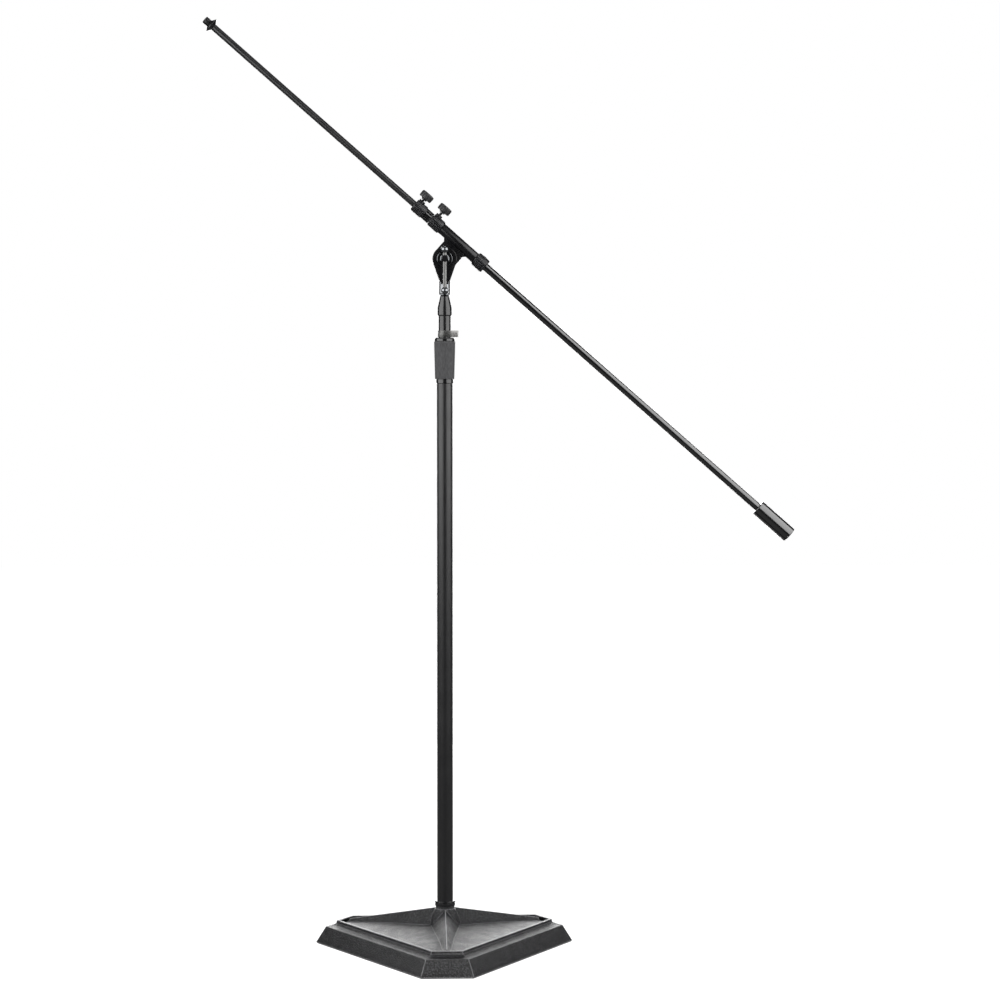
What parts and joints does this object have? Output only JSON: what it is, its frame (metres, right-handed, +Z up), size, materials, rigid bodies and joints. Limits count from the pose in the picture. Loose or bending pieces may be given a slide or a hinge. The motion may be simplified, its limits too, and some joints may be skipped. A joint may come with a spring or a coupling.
{
  "type": "boom microphone stand",
  "caption": "Free-standing boom microphone stand: heavy cast base with cut corners, telescoping column with twist clutch, swivelling yoke, telescoping counterweighted boom.",
  "frame": {"origin": "on the column axis, at the floor under the base pad", "axes": "+Z up along the column; the boom lies in the XZ plane with its tip towards -X and its counterweight towards +X; one cut corner of the base points to -Y"},
  "size_m": [1.1865, 0.456, 1.8762],
  "materials": {
    "cast_iron": "fine textured black powder coat on cast iron",
    "black_tube": "semi-gloss black paint on steel tube",
    "black_casting": "textured black paint on die castings and plates",
    "black_metal": "satin black plated and turned parts",
    "chrome": "polished chrome plate",
    "steel": "satin zinc plated steel",
    "grip_rubber": "matte black rubber with a fine grain",
    "pad_rubber": "plain black rubber",
    "nylon": "natural nylon",
    "knob": "moulded matte black plastic"
  },
  "bodies": {
    "stand": {"base_casting": "cast_iron", "base_pad": "pad_rubber", "base_lock_ring": "black_metal", "base_bolt": "steel", "base_washer": "steel", "lower_tube": "black_tube", "lower_tube_plug": "steel", "clutch_body": "black_metal", "clutch_collet": "nylon"},
    "clutch": {"clutch_sleeve": "black_metal", "clutch_grip": "grip_rubber", "clutch_cap": "black_metal"},
    "upper_column": {"upper_tube": "black_tube", "guide_bush": "nylon", "swivel_cone": "black_metal", "swivel_stud": "steel"},
    "stop_collar": {"stop_collar": "steel"},
    "stop_screw": {"stop_screw": "black_metal"},
    "swivel": {"swivel_flange": "chrome", "swivel_barrel": "chrome", "yoke_cheek_front": "black_casting", "yoke_cheek_back": "black_casting", "yoke_rivets": "steel", "pivot_washer": "chrome", "clamp_nut": "steel"},
    "clamp_screw": {"clamp_screw": "black_metal"},
    "tommy_bar": {"tommy_bar": "steel", "tommy_bar_balls": "chrome"},
    "boom_head": {"boom_bracket": "black_casting", "friction_washers": "nylon", "front_collar": "black_casting", "rear_collar": "black_casting"},
    "front_thumbscrew": {"front_screw": "steel", "front_knob": "knob"},
    "rear_thumbscrew": {"rear_screw": "steel", "rear_knob": "knob"},
    "outer_boom": {"outer_boom_tube": "black_tube", "inner_clamp": "black_casting", "counterweight": "black_tube", "counterweight_plug": "steel"},
    "inner_thumbscrew": {"inner_screw": "steel", "inner_knob": "knob"},
    "inner_boom": {"inner_boom_tube": "black_tube", "inner_bush": "nylon", "tip_ferrule": "black_metal", "tip_stud": "black_metal"}
  },
  "joints": [
    {"name": "clutch_twist", "type": "hinge", "parent": "stand", "child": "clutch", "pos_m": [0, 0, 1.1557], "axis": [0, 0, 1], "range_deg": [-15, 270]},
    {"name": "column_height", "type": "slide", "parent": "stand", "child": "upper_column", "axis": [0, 0, 1], "range_m": [0, 0.6]},
    {"name": "stop_collar_slide", "type": "slide", "parent": "upper_column", "child": "stop_collar", "axis": [0, 0, 1], "range_m": [0, 0.028]},
    {"name": "stop_screw_turn", "type": "hinge", "parent": "stop_collar", "child": "stop_screw", "pos_m": [0.02028, 0, 1.2462], "axis": [0, 1, 0], "range_deg": [0, 360]},
    {"name": "swivel_turn", "type": "hinge", "parent": "upper_column", "child": "swivel", "pos_m": [0, 0, 1.3255], "axis": [0, 0, 1], "continuous": true},
    {"name": "clamp_screw_turn", "type": "hinge", "parent": "swivel", "child": "clamp_screw", "pos_m": [0, 0, 1.396], "axis": [0, -1, 0], "range_deg": [-30, 330]},
    {"name": "tommy_bar_slide", "type": "slide", "parent": "clamp_screw", "child": "tommy_bar", "axis": [0, 0, 1], "range_m": [-0.003, 0.048]},
    {"name": "boom_tilt", "type": "hinge", "parent": "swivel", "child": "boom_head", "pos_m": [0, 0, 1.396], "axis": [0, 1, 0], "range_deg": [-120, 43]},
    {"name": "front_thumbscrew_turn", "type": "hinge", "parent": "boom_head", "child": "front_thumbscrew", "pos_m": [-0.02111, 0, 1.47045], "axis": [0.66, 0, 0.7513], "range_deg": [0, 360]},
    {"name": "rear_thumbscrew_turn", "type": "hinge", "parent": "boom_head", "child": "rear_thumbscrew", "pos_m": [0.07204, 0, 1.38861], "axis": [0.069, 0.9945, 0.0785], "range_deg": [0, 360]},
    {"name": "outer_boom_slide", "type": "slide", "parent": "boom_head", "child": "outer_boom", "axis": [-0.7513, 0, 0.66], "range_m": [0, 0.7]},
    {"name": "inner_thumbscrew_turn", "type": "hinge", "parent": "outer_boom", "child": "inner_thumbscrew", "pos_m": [-0.05417, 0, 1.49949], "axis": [0.66, 0, 0.7513], "range_deg": [0, 360]},
    {"name": "inner_boom_slide", "type": "slide", "parent": "outer_boom", "child": "inner_boom", "axis": [-0.7513, 0, 0.66], "range_m": [-0.5, 0.1]}
  ]
}
